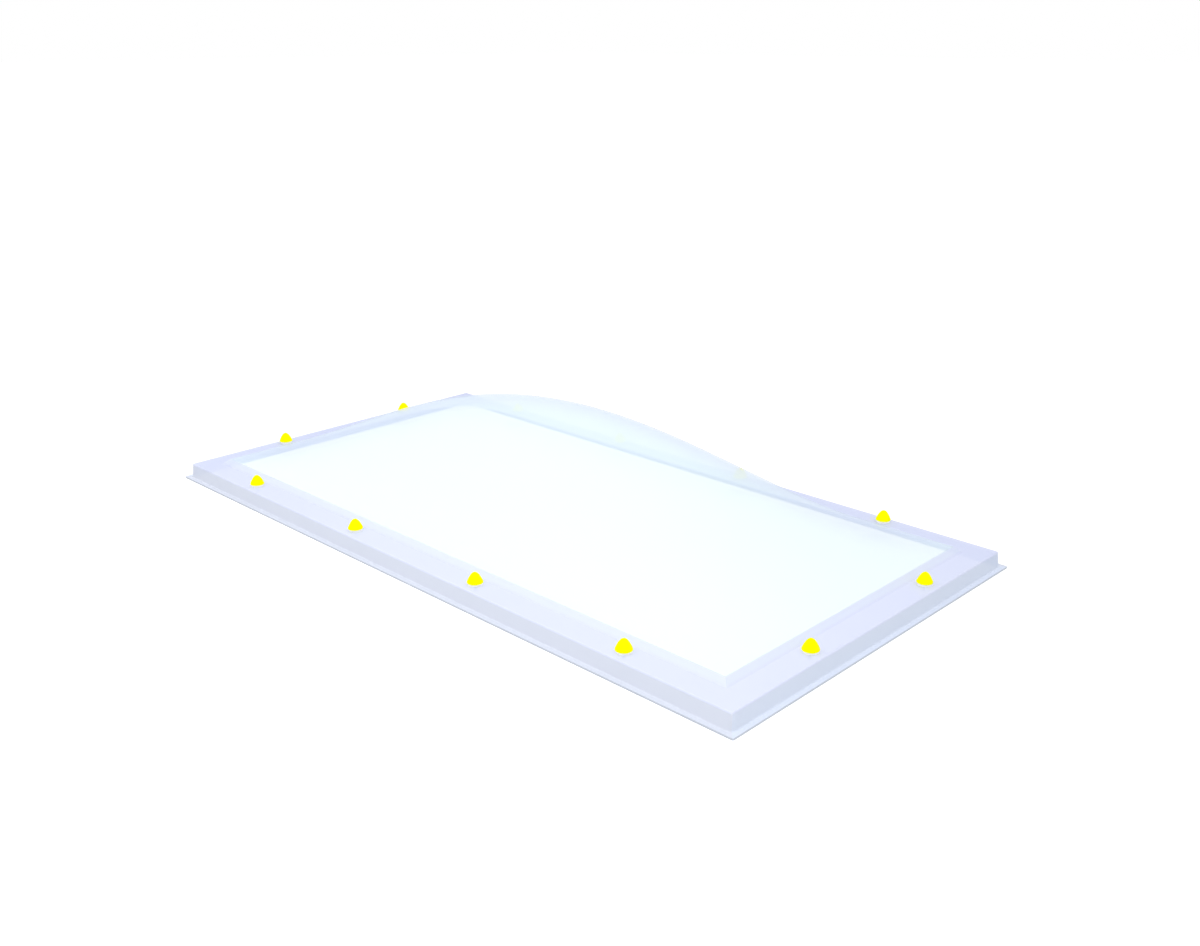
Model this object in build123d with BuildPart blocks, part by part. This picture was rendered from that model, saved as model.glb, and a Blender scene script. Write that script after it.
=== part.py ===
from build123d import *
from math import atan, cos, degrees, tan
import os

# Roof skylight: a translucent acrylic dome, screwed down over a kerb on a flat roof.
# X runs along the long side, Y along the short side and Z up. The origin is at the middle of
# the underside of the lip that runs round the bottom. All sizes are in millimetres.

# Sheet and rim
sheet = 3
rim_length = 1460
rim_width = 760
rim_height = 32
flat_rim = 46
inside_corner = 1
rim_edge_round = 2.5

# Skirt, which leans outwards on its way down, and the lip turned out at its foot
skirt_lean = 4.5
lip_reach = 13.5
lip_corner = 3
lip_bend = 3

# Sloping shoulder between the flat rim and the dome
shoulder_run = 12
shoulder_rise = 10

# Blown dome
dome_rise = 185
dome_flattening = 0.15

# Screw places, four along each long side and two along each short side
long_side_screws = 4
long_side_end_distance = 222
short_side_screws = 2
short_side_end_distance = 216

# Screw
thread_radius = 2.75
neck_radius = 2.5
screw_length = 19
thread_length = 12.5
point_length = 5
screw_flange_radius = 5.6
screw_flange_thickness = 1
hexagon_across_flats = 8
hexagon_height = 4
hexagon_chamfer = 0.4

# Room round the screw: more in the sheet, which creeps as it warms, than in the ring and the seat
sheet_clearance = 0.5
bore_clearance = 0.25

# Sealing ring under each seat
ring_radius = 9
ring_thickness = 1.5

# Cap seat, with a sunk floor for the screw head and a boss for the cap
seat_ledge = 2.4
seat_thickness = 4
seat_edge_round = 0.8
boss_height = 3.5
head_clearance = 0.9
seat_floor = 2

# Yellow snap cap, with a collar inside that grips the boss
cap_radius = 13.7
cap_height = 18.4
cap_band = 1.5
cap_wall = 1.6
collar_gap = 0.95
collar_wall = 1.4
collar_clearance = 0.15

os.makedirs("parts", exist_ok=True)

# Sizes that follow from the ones above
lean_angle = atan(skirt_lean / rim_height)
shoulder_angle = atan(shoulder_rise / shoulder_run)
dome_foot = rim_height + shoulder_rise
fixing_inset = flat_rim / 2
screw_hole_radius = thread_radius + sheet_clearance
screw_bore_radius = thread_radius + bore_clearance
collar_outer_radius = cap_radius - cap_wall - collar_gap
collar_inner_radius = collar_outer_radius - collar_wall
boss_radius = collar_inner_radius - collar_clearance
seat_radius = boss_radius + seat_ledge
recess_radius = screw_flange_radius + head_clearance

# Heights of the faces that the small pieces stand on
seat_base = rim_height + ring_thickness
head_base = seat_base + seat_floor
cap_base = seat_base + seat_thickness


# The blown dome is one smooth patch. Its height follows a net of poles, five each way, that gives
# the section (1 - s²)(1 - f s²) both along and across, where s runs from -1 to 1 over the opening
# and f is the flattening that eases the dome down to its foot.
def dome_patch(length, width, foot):
    section = [0, 1 - dome_flattening, 4 / 3 * (1 + dome_flattening), 1 - dome_flattening, 0]
    spans = len(section) - 1
    poles = []
    for i, along in enumerate(section):
        row = []
        for j, across in enumerate(section):
            x = length * (i / spans - 0.5)
            y = width * (j / spans - 0.5)
            row.append((x, y, foot + dome_rise * along * across))
        poles.append(row)
    return Face.make_bezier_surface(poles)


# Everything under one dome patch, down to a little below its foot so that it joins the shoulder
def dome_mass(length, width, foot):
    overlap = shoulder_rise / 2
    with BuildPart() as mass:
        extrude(dome_patch(length, width, foot), amount=2 * dome_rise, dir=(0, 0, -1))
        split(bisect_by=Plane.XY.offset(foot - overlap), keep=Keep.TOP)
    return mass.part


# The outer form of the moulding, or the hollow under it: the same form moved inwards by one sheet.
# Where two faces meet at an angle, the moved corner lies tan(angle / 2) of the sheet further in.
def formed_mass(inward):
    wall = inward / cos(lean_angle)
    top = rim_height - inward
    shoulder_shift = inward * tan(shoulder_angle / 2)
    foot_length = rim_length + 2 * (skirt_lean - wall)
    foot_width = rim_width + 2 * (skirt_lean - wall)
    foot_corner = inside_corner + sheet + skirt_lean - inward
    shoulder_inset = 2 * (flat_rim + shoulder_shift)
    dome_inset = shoulder_inset + 2 * shoulder_run
    dome = dome_mass(rim_length - dome_inset, rim_width - dome_inset, dome_foot - inward)
    with BuildPart() as form:
        with BuildSketch():
            RectangleRounded(foot_length, foot_width, foot_corner)
        extrude(amount=top, taper=degrees(lean_angle))
        with BuildSketch(Plane.XY.offset(top)):
            Rectangle(rim_length - shoulder_inset, rim_width - shoulder_inset)
        with BuildSketch(Plane.XY.offset(top + shoulder_rise)):
            Rectangle(rim_length - dome_inset, rim_width - dome_inset)
        loft()
        add(dome)
    return form.part


# Evenly spaced places along one side of the rim, from end distance to end distance
def spaced(side_length, end_distance, count):
    span = side_length - 2 * end_distance
    return [span * (n / (count - 1) - 0.5) for n in range(count)]


# Places of the screws in plan, along the middle of the flat rim
def screw_places():
    half_length = rim_length / 2 - fixing_inset
    half_width = rim_width / 2 - fixing_inset
    places = []
    for side in (-1, 1):
        for x in spaced(rim_length, long_side_end_distance, long_side_screws):
            places.append((x, side * half_width))
        for y in spaced(rim_width, short_side_end_distance, short_side_screws):
            places.append((side * half_length, y))
    return places


places = screw_places()

# Dome shell: one sheet, formed into dome, shoulder, flat rim, skirt and lip
outer_form = formed_mass(0)
hollow = formed_mass(sheet)
with BuildPart() as dome_shell:
    add(outer_form)
    rim_edges = dome_shell.faces().filter_by(Plane.XY).sort_by(Axis.Z)[-1].outer_wire().edges()
    fillet(rim_edges, radius=rim_edge_round)
    with BuildSketch():
        RectangleRounded(rim_length + 2 * lip_reach, rim_width + 2 * lip_reach, lip_corner)
    extrude(amount=sheet)
    lip_top = dome_shell.faces().filter_by(Plane.XY).sort_by(Axis.Z)[1]
    fillet(lip_top.inner_wires()[0].edges(), radius=lip_bend)
    add(hollow, mode=Mode.SUBTRACT)
    underside = dome_shell.faces().filter_by(Plane.XY).sort_by(Axis.Z)[0]
    fillet(underside.inner_wires()[0].edges(), radius=lip_bend + sheet)
    with Locations(*[(x, y, rim_height) for x, y in places]):
        Hole(screw_hole_radius, depth=2 * sheet)
dome_shell.part.label = "dome_shell"
export_step(dome_shell.part, "parts/dome_shell.step")

# Sealing rings, one flat soft ring round each screw hole
with BuildPart() as sealing_rings:
    with BuildSketch(Plane.XY.offset(rim_height)):
        with Locations(*places):
            Circle(ring_radius)
            Circle(screw_bore_radius, mode=Mode.SUBTRACT)
    extrude(amount=ring_thickness)
sealing_rings.part.label = "sealing_rings"
export_step(sealing_rings.part, "parts/sealing_rings.step")

# Cap seat: a round ledge with a boss, sunk in the middle for the screw head
with BuildPart() as seat:
    with BuildSketch(Plane.XZ):
        with BuildLine():
            Polyline(
                (screw_bore_radius, seat_base),
                (seat_radius, seat_base),
                (seat_radius, cap_base),
                (boss_radius, cap_base),
                (boss_radius, cap_base + boss_height),
                (recess_radius, cap_base + boss_height),
                (recess_radius, head_base),
                (screw_bore_radius, head_base),
                close=True,
            )
        make_face()
    revolve(axis=Axis.Z)
    ledge = seat.faces().filter_by(Plane.XY).sort_by(Axis.Z)[2]
    fillet(ledge.outer_wire().edges(), radius=seat_edge_round)

for number, place in enumerate(places, start=1):
    with BuildPart() as cap_seat:
        with Locations(place):
            add(seat.part)
    cap_seat.part.label = f"cap_seat_{number:02d}"
    export_step(cap_seat.part, f"parts/cap_seat_{number:02d}.step")

# Screws: a flanged hexagon head, a neck that goes through seat, ring and sheet, and below the
# sheet the thread, drawn plain, with its point
with BuildPart() as screw:
    with BuildSketch(Plane.XZ):
        with BuildLine():
            tip = head_base - screw_length
            flange_top = head_base + screw_flange_thickness
            Polyline(
                (0, tip),
                (thread_radius, tip + point_length),
                (thread_radius, tip + thread_length),
                (neck_radius, tip + thread_length),
                (neck_radius, head_base),
                (screw_flange_radius, head_base),
                (screw_flange_radius, flange_top),
                (0, flange_top),
                close=True,
            )
        make_face()
    revolve(axis=Axis.Z)
    with BuildSketch(Plane.XY.offset(flange_top)):
        RegularPolygon(hexagon_across_flats / 2, 6, major_radius=False)
    extrude(amount=hexagon_height)
    head_top = screw.faces().filter_by(Plane.XY).sort_by(Axis.Z)[-1]
    chamfer(head_top.edges(), length=hexagon_chamfer)

with BuildPart() as screws:
    with Locations(*places):
        add(screw.part)
screws.part.label = "screws"
export_step(screws.part, "parts/screws.step")


# A short upright band under a rounded cone, whose section is a parabola
def cap_form(radius, height):
    with BuildPart() as form:
        with BuildSketch(Plane.XZ):
            with BuildLine():
                Polyline((0, height), (0, 0), (radius, 0), (radius, cap_band))
                Bezier((radius, cap_band), (radius / 2, height), (0, height))
            make_face()
        revolve(axis=Axis.Z)
    return form.part


# Screw cap: hollow over the screw head, with a collar that goes down over the boss of its seat
cap_outside = cap_form(cap_radius, cap_height)
cap_inside = cap_form(cap_radius - cap_wall, cap_height - cap_wall)
with BuildPart() as cap_hollow:
    add(cap_inside)
    with BuildSketch():
        Circle(collar_outer_radius)
        Circle(collar_inner_radius, mode=Mode.SUBTRACT)
    extrude(amount=cap_height, mode=Mode.SUBTRACT)
with BuildPart() as cap:
    add(cap_outside)
    add(cap_hollow.part, mode=Mode.SUBTRACT)

for number, (x, y) in enumerate(places, start=1):
    with BuildPart() as screw_cap:
        with Locations((x, y, cap_base)):
            add(cap.part)
    screw_cap.part.label = f"screw_cap_{number:02d}"
    export_step(screw_cap.part, f"parts/screw_cap_{number:02d}.step")
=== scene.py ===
from math import cos, pi, radians, sin, tau

import bmesh
import bpy
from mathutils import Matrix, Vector


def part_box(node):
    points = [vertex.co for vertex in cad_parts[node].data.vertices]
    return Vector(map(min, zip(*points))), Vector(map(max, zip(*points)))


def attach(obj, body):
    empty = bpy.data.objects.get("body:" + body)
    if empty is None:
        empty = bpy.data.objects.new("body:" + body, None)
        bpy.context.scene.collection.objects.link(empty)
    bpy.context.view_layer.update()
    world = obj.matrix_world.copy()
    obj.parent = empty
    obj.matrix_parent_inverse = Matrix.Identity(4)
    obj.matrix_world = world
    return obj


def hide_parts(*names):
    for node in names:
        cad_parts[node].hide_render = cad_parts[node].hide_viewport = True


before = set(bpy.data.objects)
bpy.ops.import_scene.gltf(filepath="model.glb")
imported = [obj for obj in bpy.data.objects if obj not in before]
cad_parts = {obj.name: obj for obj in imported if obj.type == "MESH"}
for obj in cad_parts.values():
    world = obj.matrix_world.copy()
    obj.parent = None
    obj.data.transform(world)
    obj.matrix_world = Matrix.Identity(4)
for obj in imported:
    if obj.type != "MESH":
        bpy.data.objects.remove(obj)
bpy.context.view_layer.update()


# Dome shell: one acrylic sheet, heated and blown into a dome inside a flat rim, a leaning skirt
# and a lip. The blown part is stretched thin and lets more light through than the flat rim and
# the skirt, which keep the sheet's full thickness and its pale blue tint.
def new_material(name):
    material = bpy.data.materials.new(name)
    material.use_nodes = True
    nodes = material.node_tree.nodes
    return material, nodes, material.node_tree.links, nodes["Principled BSDF"]


def add_node(nodes, kind, **settings):
    node = nodes.new(kind)
    for key, value in settings.items():
        setattr(node, key, value)
    return node


def feed(links, socket, value):
    if isinstance(value, bpy.types.NodeSocket):
        links.new(value, socket)
    elif isinstance(value, tuple):
        socket.default_value = (*value, 1.0)
    else:
        socket.default_value = value


def math_node(nodes, links, operation, first, second=0.0):
    node = add_node(nodes, "ShaderNodeMath", operation=operation)
    feed(links, node.inputs[0], first)
    feed(links, node.inputs[1], second)
    return node.outputs[0]


def range_node(nodes, links, value, low, high, to_low=0.0, to_high=1.0):
    node = add_node(nodes, "ShaderNodeMapRange", interpolation_type="SMOOTHSTEP")
    names = ("Value", "From Min", "From Max", "To Min", "To Max")
    for name, given in zip(names, (value, low, high, to_low, to_high)):
        feed(links, node.inputs[name], given)
    return node.outputs["Result"]


def mix_colours(nodes, links, factor, first, second):
    node = add_node(nodes, "ShaderNodeMix", data_type="RGBA")
    first_colour, second_colour = 6, 7
    feed(links, node.inputs["Factor"], factor)
    feed(links, node.inputs[first_colour], first)
    feed(links, node.inputs[second_colour], second)
    return node.outputs[2]


def noise(nodes, links, scale, detail, roughness=0.5):
    node = add_node(nodes, "ShaderNodeTexNoise")
    links.new(nodes.new("ShaderNodeTexCoord").outputs["Object"], node.inputs["Vector"])
    feed(links, node.inputs["Scale"], scale)
    feed(links, node.inputs["Detail"], detail)
    feed(links, node.inputs["Roughness"], roughness)
    return node.outputs["Fac"]


def add_bump(nodes, links, shader, height, strength, distance):
    bump = add_node(nodes, "ShaderNodeBump")
    bump.inputs["Strength"].default_value = strength
    bump.inputs["Distance"].default_value = distance
    links.new(height, bump.inputs["Height"])
    links.new(bump.outputs["Normal"], shader.inputs["Normal"])


# Where one zone of the sheet passes into the next. The dome's foot is given by half its length
# and width. Skirt top and lip bend are heights. Shoulder end, rim edge, skirt corner and sawn
# edge are distances out from the foot, and the skirt leans out by its lean for each metre down.
dome_foot = (0.672, 0.322)
foot_fade = 0.0015
shoulder_end = (0.007, 0.0125)
rim_edge = (0.0552, 0.0566)
skirt_top = (0.0285, 0.0305)
skirt_lean = 0.14
skirt_corner = (0.0598, 0.0612)
lip_bend = (0.004, 0.007)
sawn_edge = (0.0706, 0.0712)
side_seam = 0.0005
skin_fade = 0.004


# Masks of the sheet's zones. They follow from how far a point lies outside the rectangle of the
# dome's foot and from its height. The inner skin is what faces the middle of the part.
def forming_zones_group():
    group = bpy.data.node_groups.new("forming_zones", "ShaderNodeTree")
    nodes, links = group.nodes, group.links
    out = nodes.new("NodeGroupOutput")

    def put_out(name, mask):
        group.interface.new_socket(name, in_out="OUTPUT", socket_type="NodeSocketFloat")
        links.new(mask, out.inputs[name])

    where = nodes.new("ShaderNodeTexCoord").outputs
    place = nodes.new("ShaderNodeSeparateXYZ")
    links.new(where["Object"], place.inputs[0])
    height = place.outputs["Z"]
    beyond = []
    for axis, half in zip("XY", dome_foot):
        distance = math_node(nodes, links, "ABSOLUTE", place.outputs[axis])
        beyond.append(math_node(nodes, links, "SUBTRACT", distance, half))
    outside = math_node(nodes, links, "MAXIMUM", *beyond)
    put_out("Blown", range_node(nodes, links, outside, -foot_fade, foot_fade, 1.0, 0.0))
    put_out("Shoulder", range_node(nodes, links, outside, *shoulder_end, 1.0, 0.0))
    put_out("Skirt", range_node(nodes, links, height, *skirt_top, 1.0, 0.0))
    put_out("Sawn Edge", range_node(nodes, links, outside, *sawn_edge))

    side = math_node(nodes, links, "SUBTRACT", *beyond)
    put_out("Short Side", range_node(nodes, links, side, -side_seam, side_seam))

    # The rim edge mask carries a painted highlight along the rim's rounded outer edge.
    rounding = range_node(nodes, links, outside, *rim_edge)
    above_skirt = range_node(nodes, links, height, *skirt_top)
    put_out("Rim Edge", math_node(nodes, links, "MULTIPLY", rounding, above_skirt))

    # The corner mask carries a painted highlight down the skirt's upright corners.
    least = math_node(nodes, links, "MINIMUM", *beyond)
    lean = math_node(nodes, links, "MULTIPLY", height, skirt_lean)
    upright = math_node(nodes, links, "ADD", least, lean)
    corner = range_node(nodes, links, upright, *skirt_corner)
    above_lip = range_node(nodes, links, height, *lip_bend)
    put_out("Corner", math_node(nodes, links, "MULTIPLY", corner, above_lip))

    # The inner skin mask carries only the sheet's painted glow.
    outwards = add_node(nodes, "ShaderNodeVectorMath", operation="DOT_PRODUCT")
    links.new(where["Object"], outwards.inputs[0])
    links.new(where["Normal"], outwards.inputs[1])
    facing_out = outwards.outputs["Value"]
    put_out("Inner Skin", range_node(nodes, links, facing_out, -skin_fade, skin_fade, 1.0, 0.0))
    return group


# Opacity of a translucent piece: light spreads through it more freely than one can see
def seen_opacity(nodes, links, opacity, opacity_to_light):
    path = nodes.new("ShaderNodeLightPath").outputs
    lighting = math_node(nodes, links, "MAXIMUM", path["Is Shadow Ray"], path["Is Diffuse Ray"])
    return range_node(nodes, links, lighting, 0.0, 1.0, opacity, opacity_to_light)


flat_sheet_colour = (0.75, 0.79, 0.985)
flat_sheet_edge_on = (0.685, 0.73, 0.955)
# Painted shade: the skirt is painted darker and greyer than the flat rim, and on the short sides
# a lighter, bluer tone, for how the light falls on each face.
skirt_painted_shade = (0.72, 0.76, 0.865)
short_side_skirt_painted_shade = (0.72, 0.79, 0.93)
# Painted highlight: a lighter line down the skirt's rounded upright corners.
corner_painted_highlight = (0.80, 0.83, 0.95)
# Painted highlight: a lighter line along the rounded outer edge of the rim.
rim_edge_painted_highlight = (0.76, 0.80, 0.98)
sawn_edge_colour = (0.56, 0.60, 0.66)
shoulder_colour = (0.78, 0.835, 0.99)
blown_colour = (0.80, 0.945, 0.98)
blown_edge_on = (0.75, 0.86, 0.985)
rim_turning = (0.60, 0.80)
dome_turning = (0.55, 0.83)
flat_opacity = 0.92
blown_opacity = 0.66
share_to_light = 0.15
# Painted light: the sheet glows, faintly blue on its outer skin, brighter on its inner skin and
# most inside the dome, in place of light that shines through the sheet from the other side.
painted_glow_outside = (0.0, 0.01, 0.04)
painted_glow_inside_flat = (0.05, 0.06, 0.18)
painted_glow_inside_dome = (0.36, 0.35, 0.31)
acrylic_ior = 1.49

acrylic, nodes, links, shader = new_material("formed_acrylic")
zone = add_node(nodes, "ShaderNodeGroup", node_tree=forming_zones_group()).outputs
facing = nodes.new("ShaderNodeLayerWeight").outputs["Facing"]
rim_turned = range_node(nodes, links, facing, *rim_turning)
dome_turned = range_node(nodes, links, facing, *dome_turning)
any_skirt_painted_shade = mix_colours(nodes, links, zone["Short Side"], skirt_painted_shade, short_side_skirt_painted_shade)
dome_colour = mix_colours(nodes, links, dome_turned, blown_colour, blown_edge_on)
sheet_colour = mix_colours(nodes, links, rim_turned, flat_sheet_colour, flat_sheet_edge_on)
# Over the sheet's tint go painted highlights on the rim edge and the skirt's corners, and
# painted shade on the skirt.
zone_colours = {
    "Rim Edge": rim_edge_painted_highlight,
    "Skirt": any_skirt_painted_shade,
    "Corner": corner_painted_highlight,
    "Sawn Edge": sawn_edge_colour,
    "Shoulder": shoulder_colour,
    "Blown": dome_colour,
}
for name, colour in zone_colours.items():
    sheet_colour = mix_colours(nodes, links, zone[name], sheet_colour, colour)
links.new(sheet_colour, shader.inputs["Base Color"])

opacity = range_node(nodes, links, zone["Blown"], 0.0, 1.0, flat_opacity, blown_opacity)
share_seen = seen_opacity(nodes, links, opacity=1.0, opacity_to_light=share_to_light)
backfacing = nodes.new("ShaderNodeNewGeometry").outputs["Backfacing"]
front = math_node(nodes, links, "SUBTRACT", 1.0, backfacing)
opacity_seen = math_node(nodes, links, "MULTIPLY", opacity, share_seen)
links.new(math_node(nodes, links, "MULTIPLY", opacity_seen, front), shader.inputs["Alpha"])

# Painted glow of the sheet, stronger on the inner skin and under the dome.
painted_glow_inside = mix_colours(nodes, links, zone["Blown"], painted_glow_inside_flat, painted_glow_inside_dome)
painted_glow = mix_colours(nodes, links, zone["Inner Skin"], painted_glow_outside, painted_glow_inside)
links.new(painted_glow, shader.inputs["Emission Color"])
shader.inputs["Emission Strength"].default_value = 1.0

wiping_marks = noise(nodes, links, scale=35.0, detail=6.0, roughness=0.65)
marks_begin, marks_full = 0.3, 0.75
polished, wiped = 0.30, 0.45
dulled = range_node(nodes, links, wiping_marks, marks_begin, marks_full, polished, wiped)
links.new(dulled, shader.inputs["Roughness"])
forming_waves = noise(nodes, links, scale=5.0, detail=1.0)
add_bump(nodes, links, shader, forming_waves, strength=0.05, distance=0.004)
shader.inputs["IOR"].default_value = acrylic_ior
shader.inputs["Specular IOR Level"].default_value = 0.0
shader.inputs["Coat Weight"].default_value = 0.2
shader.inputs["Coat Roughness"].default_value = 0.08
shader.inputs["Coat IOR"].default_value = acrylic_ior

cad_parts["dome_shell"].material_slots[0].material = acrylic


# Sealing rings: soft flat rings of pale rubber under the seats, which keep water out of the
# screw holes. They are stamped from sheet and have a dull, slightly grainy face.
grain_low, grain_high = 0.3, 0.7


def surface_grain_group():
    group = bpy.data.node_groups.new("surface_grain", "ShaderNodeTree")
    sockets = [
        ("INPUT", "Scale", "Float"), ("INPUT", "Detail", "Float"),
        ("INPUT", "Hollow Colour", "Color"), ("INPUT", "Raised Colour", "Color"),
        ("INPUT", "Hollow Roughness", "Float"), ("INPUT", "Raised Roughness", "Float"),
        ("OUTPUT", "Colour", "Color"), ("OUTPUT", "Roughness", "Float"),
        ("OUTPUT", "Height", "Float"),
    ]
    for direction, name, kind in sockets:
        group.interface.new_socket(name, in_out=direction, socket_type="NodeSocket" + kind)
    nodes, links = group.nodes, group.links
    given = nodes.new("NodeGroupInput").outputs
    grain = noise(nodes, links, given["Scale"], given["Detail"])
    colours = (given["Hollow Colour"], given["Raised Colour"])
    gloss = (given["Hollow Roughness"], given["Raised Roughness"])
    out = nodes.new("NodeGroupOutput").inputs
    links.new(mix_colours(nodes, links, grain, *colours), out["Colour"])
    links.new(range_node(nodes, links, grain, grain_low, grain_high, *gloss), out["Roughness"])
    links.new(grain, out["Height"])
    return group


surface_grain = surface_grain_group()


def grained_material(name, scale, detail, colours, gloss, relief=None):
    material, nodes, links, shader = new_material(name)
    grain = add_node(nodes, "ShaderNodeGroup", node_tree=surface_grain)
    values = (scale, detail, *colours, *gloss)
    for socket, value in zip(grain.inputs, values):
        feed(links, socket, value)
    links.new(grain.outputs["Colour"], shader.inputs["Base Color"])
    links.new(grain.outputs["Roughness"], shader.inputs["Roughness"])
    if relief:
        add_bump(nodes, links, shader, grain.outputs["Height"], *relief)
    return material, nodes, links, shader


ring_colours = ((0.84, 0.88, 0.98), (0.90, 0.93, 1.0))
ring_rubber, nodes, links, shader = grained_material(
    "clear_sealing_rubber", scale=900.0, detail=3.0, colours=ring_colours, gloss=(0.55, 0.7))
ring_opacity = seen_opacity(nodes, links, opacity=0.85, opacity_to_light=0.2)
links.new(ring_opacity, shader.inputs["Alpha"])

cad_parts["sealing_rings"].material_slots[0].material = ring_rubber


# Cap seats: pale translucent moulded plastic, one under each cap. Each is screwed down on its
# sealing ring and carries a boss that the cap snaps over.
# The seats' pale tone is partly their own and partly painted light: it is raised, and a faint
# glow added, to paint away the shade under the caps.
seat_tone_and_painted_light = ((0.86, 0.90, 0.97), (0.90, 0.94, 1.0))
seat_painted_glow = (0.14, 0.14, 0.15)
seat_plastic, nodes, links, shader = grained_material(
    "clear_seat_plastic", scale=120.0, detail=2.0, colours=seat_tone_and_painted_light, gloss=(0.12, 0.22))
seat_opacity = seen_opacity(nodes, links, opacity=0.6, opacity_to_light=0.1)
links.new(seat_opacity, shader.inputs["Alpha"])
shader.inputs["IOR"].default_value = acrylic_ior
shader.inputs["Specular IOR Level"].default_value = 0.12
# Painted glow that lightens the shade under the caps.
feed(links, shader.inputs["Emission Color"], seat_painted_glow)
shader.inputs["Emission Strength"].default_value = 1.0

seat_names = sorted(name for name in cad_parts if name.startswith("cap_seat"))
for name in seat_names:
    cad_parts[name].material_slots[0].material = seat_plastic


# Screws: stainless steel, with a flanged hexagon head, a plain neck and a rolled thread that
# bites into the roof kerb. Each goes down through its seat, its ring and the sheet.
def ring_of_points(mesh, centre, height, radii):
    ring = []
    for n, radius in enumerate(radii):
        angle = tau * n / len(radii)
        x = centre.x + radius * cos(angle)
        y = centre.y + radius * sin(angle)
        ring.append(mesh.verts.new((x, y, height)))
    return ring


def skin_over(mesh, rings):
    segments = len(rings[0])
    for lower, upper in zip(rings, rings[1:]):
        for n in range(segments):
            after = (n + 1) % segments
            mesh.faces.new((lower[n], lower[after], upper[after], upper[n]))
    mesh.faces.new(reversed(rings[0]))
    mesh.faces.new(rings[-1])


def turned_form(mesh, centre, profile, segments):
    rings = []
    for radius, height in profile:
        rings.append(ring_of_points(mesh, centre, height, [radius] * segments))
    skin_over(mesh, rings)


shank_segments, flange_segments = 24, 32
thread_pitch, rows_per_pitch = 0.0018, 6
thread_core, thread_crest, neck_radius = 0.0021, 0.00275, 0.0025
point_length, point_radius = 0.005, 0.0001
thread_tip, thread_top, head_base = 0.0165, 0.029, 0.0355


# The ridge winds up one pitch in each turn, is half a pitch wide and fades into the point
def threaded_shank(mesh, centre):
    rows = round((thread_top - thread_tip) / thread_pitch * rows_per_pitch)
    rings = []
    for row in range(rows + 1):
        rise = (thread_top - thread_tip) * row / rows
        taper = min(1.0, rise / point_length)
        radii = []
        for n in range(shank_segments):
            turn = (rise / thread_pitch - n / shank_segments) % 1.0
            ridge = max(0.0, 1.0 - abs(turn - 0.5) * 4.0)
            radius = taper * (thread_core + (thread_crest - thread_core) * ridge)
            radii.append(max(point_radius, radius))
        rings.append(ring_of_points(mesh, centre, thread_tip + rise, radii))
    skin_over(mesh, rings)
    neck = [(neck_radius, thread_top), (neck_radius, head_base)]
    turned_form(mesh, centre, neck, shank_segments)


# Profiles of the head as radius and height above its base; the hexagon is 8 mm across flats
flange_profile = [
    (0.0001, 0.0), (0.0052, 0.0), (0.0056, 0.0002), (0.0056, 0.0006),
    (0.0052, 0.0009), (0.0045, 0.0011), (0.0001, 0.0011),
]
hexagon_corner = 0.004 / cos(pi / 6)
hexagon_profile = [
    (0.97, 0.0009), (1.0, 0.0012), (1.0, 0.0045), (0.93, 0.005), (0.6, 0.005), (0.55, 0.0047),
]


def flanged_head(mesh, centre):
    flange = [(radius, head_base + height) for radius, height in flange_profile]
    turned_form(mesh, centre, flange, flange_segments)
    hexagon = [
        (share * hexagon_corner, head_base + height) for share, height in hexagon_profile
    ]
    turned_form(mesh, centre, hexagon, 6)


screw_mesh = bmesh.new()
for name in seat_names:
    low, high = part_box(name)
    middle = (Vector(low) + Vector(high)) / 2
    threaded_shank(screw_mesh, middle)
    flanged_head(screw_mesh, middle)
screw_data = bpy.data.meshes.new("threaded_screws")
screw_mesh.to_mesh(screw_data)
screw_mesh.free()
screws = bpy.data.objects.new("threaded_screws", screw_data)
bpy.context.scene.collection.objects.link(screws)

steel_colours = ((0.62, 0.63, 0.65), (0.74, 0.75, 0.76))
steel, nodes, links, shader = grained_material(
    "stainless_screw_steel", scale=1500.0, detail=4.0, colours=steel_colours, gloss=(0.22, 0.38))
shader.inputs["Metallic"].default_value = 1.0
screws.data.materials.append(steel)

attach(screws, "root")
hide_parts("screws")


# Screw caps: bright yellow snap caps, moulded in one piece, that hide the screw heads. Their
# skin has the faint grain of the mould, and the thin plastic lets light through.
cap_colours = ((1.0, 0.94, 0.0), (1.0, 1.0, 0.0))
cap_painted_glow = (0.16, 0.16, 0.0)
cap_relief = (0.08, 0.0003)
cap_plastic, nodes, links, shader = grained_material(
    "yellow_cap_plastic", scale=700.0, detail=3.0, colours=cap_colours, gloss=(0.38, 0.5),
    relief=cap_relief)
shader.inputs["Specular IOR Level"].default_value = 0.02
# Painted light: a faint yellow glow keeps the caps evenly bright yellow on their shaded sides.
feed(links, shader.inputs["Emission Color"], cap_painted_glow)
shader.inputs["Emission Strength"].default_value = 1.0
cap_opacity = seen_opacity(nodes, links, opacity=1.0, opacity_to_light=0.2)
links.new(cap_opacity, shader.inputs["Alpha"])

for name in sorted(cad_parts):
    if name.startswith("screw_cap"):
        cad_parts[name].material_slots[0].material = cap_plastic


# Floor: a plain white studio floor that keeps the part's soft shadow. What the camera sees of
# it, also in gloss or through the sheet, is lifted to white.
half_floor, floor_level = 40.0, -0.0005
floor_corners = []
for side_x, side_y in ((-1, -1), (1, -1), (1, 1), (-1, 1)):
    floor_corners.append((side_x * half_floor, side_y * half_floor, floor_level))
floor_mesh = bpy.data.meshes.new("studio_floor")
floor_mesh.from_pydata(floor_corners, [], [(0, 1, 2, 3)])
floor = bpy.data.objects.new("studio_floor", floor_mesh)
bpy.context.scene.collection.objects.link(floor)


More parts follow.
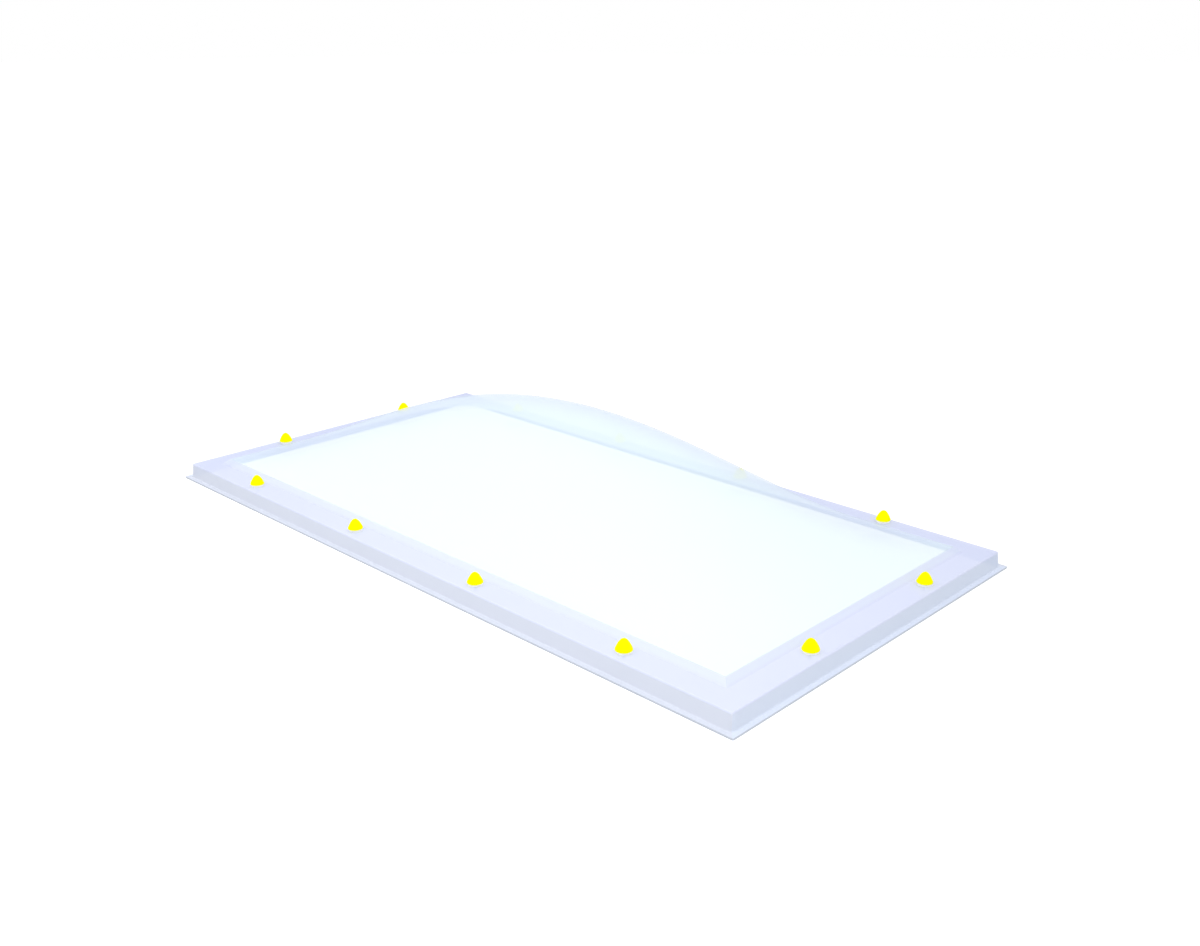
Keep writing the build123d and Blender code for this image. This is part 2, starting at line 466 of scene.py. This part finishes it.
def seen_directly(nodes, links):
    path = nodes.new("ShaderNodeLightPath").outputs
    glossy, passed = path["Is Glossy Ray"], path["Is Transmission Ray"]
    mirrored = math_node(nodes, links, "MAXIMUM", glossy, passed)
    return math_node(nodes, links, "MAXIMUM", path["Is Camera Ray"], mirrored)


floor_colours = ((0.80, 0.80, 0.80), (0.84, 0.84, 0.84))
lift_colour = (0.40, 0.40, 0.40)
floor_paint, nodes, links, shader = grained_material(
    "studio_floor_paint", scale=3.0, detail=4.0, colours=floor_colours, gloss=(0.9, 0.9))
shader.inputs["Specular IOR Level"].default_value = 0.0
lift = mix_colours(nodes, links, seen_directly(nodes, links), (0.0, 0.0, 0.0), lift_colour)
links.new(lift, shader.inputs["Emission Color"])
shader.inputs["Emission Strength"].default_value = 1.0
floor.data.materials.append(floor_paint)


# Studio light: an even white room, a weak soft lamp high up, and a long soft strip lamp that
# hangs in front of the near side
room_light, room_seen = 0.57, 1.0
world = bpy.data.worlds.new("white_studio")
world.use_nodes = True
nodes, links = world.node_tree.nodes, world.node_tree.links
room = nodes["Background"]
seen = seen_directly(nodes, links)
room_strength = range_node(nodes, links, seen, 0.0, 1.0, room_light, room_seen)
links.new(room_strength, room.inputs["Strength"])
feed(links, room.inputs["Color"], (1.0, 1.0, 1.0))
bpy.context.scene.world = world


def hang_lamp(name, data, place, aim):
    lamp = bpy.data.objects.new(name, data)
    lamp.location = place
    lamp.rotation_euler = (Vector(aim) - Vector(place)).to_track_quat("-Z", "Y").to_euler()
    lamp.visible_camera = False
    bpy.context.scene.collection.objects.link(lamp)


high_lamp = bpy.data.lights.new("high_lamp", "SUN")
high_lamp.energy = 0.80
high_lamp.angle = radians(60)
hang_lamp("high_lamp", high_lamp, place=(0.9, 0.45, 2.9), aim=(0.0, 0.0, 0.0))

strip_lamp = bpy.data.lights.new("strip_lamp", "AREA")
strip_lamp.shape = "RECTANGLE"
strip_lamp.size, strip_lamp.size_y = 3.0, 0.6
strip_lamp.energy = 10.4
hang_lamp("strip_lamp", strip_lamp, place=(0.3, -1.2, 1.2), aim=(0.3, 0.0, 0.0))


# Camera: stands off the near right corner, a little above the part, with a normal lens
azimuth, elevation = radians(44.06), radians(19.857)
target = Vector((-0.1250, 0.2463, 0.0))
distance = 2.6455
focal_pixels, image_width = 1220.9, 1200
sensor_width = 36.0
camera_data = bpy.data.cameras.new("camera")
camera_data.sensor_fit = "HORIZONTAL"
camera_data.sensor_width = sensor_width
camera_data.lens = sensor_width * focal_pixels / image_width
camera_data.clip_end = 200.0
camera = bpy.data.objects.new("camera", camera_data)
sideways = (sin(azimuth) * cos(elevation), -cos(azimuth) * cos(elevation))
back = Vector((*sideways, sin(elevation)))
camera.location = target + back * distance
camera.rotation_euler = (-back).to_track_quat("-Z", "Y").to_euler()
bpy.context.scene.collection.objects.link(camera)
bpy.context.scene.camera = camera

bpy.context.scene.view_settings.view_transform = "Standard"
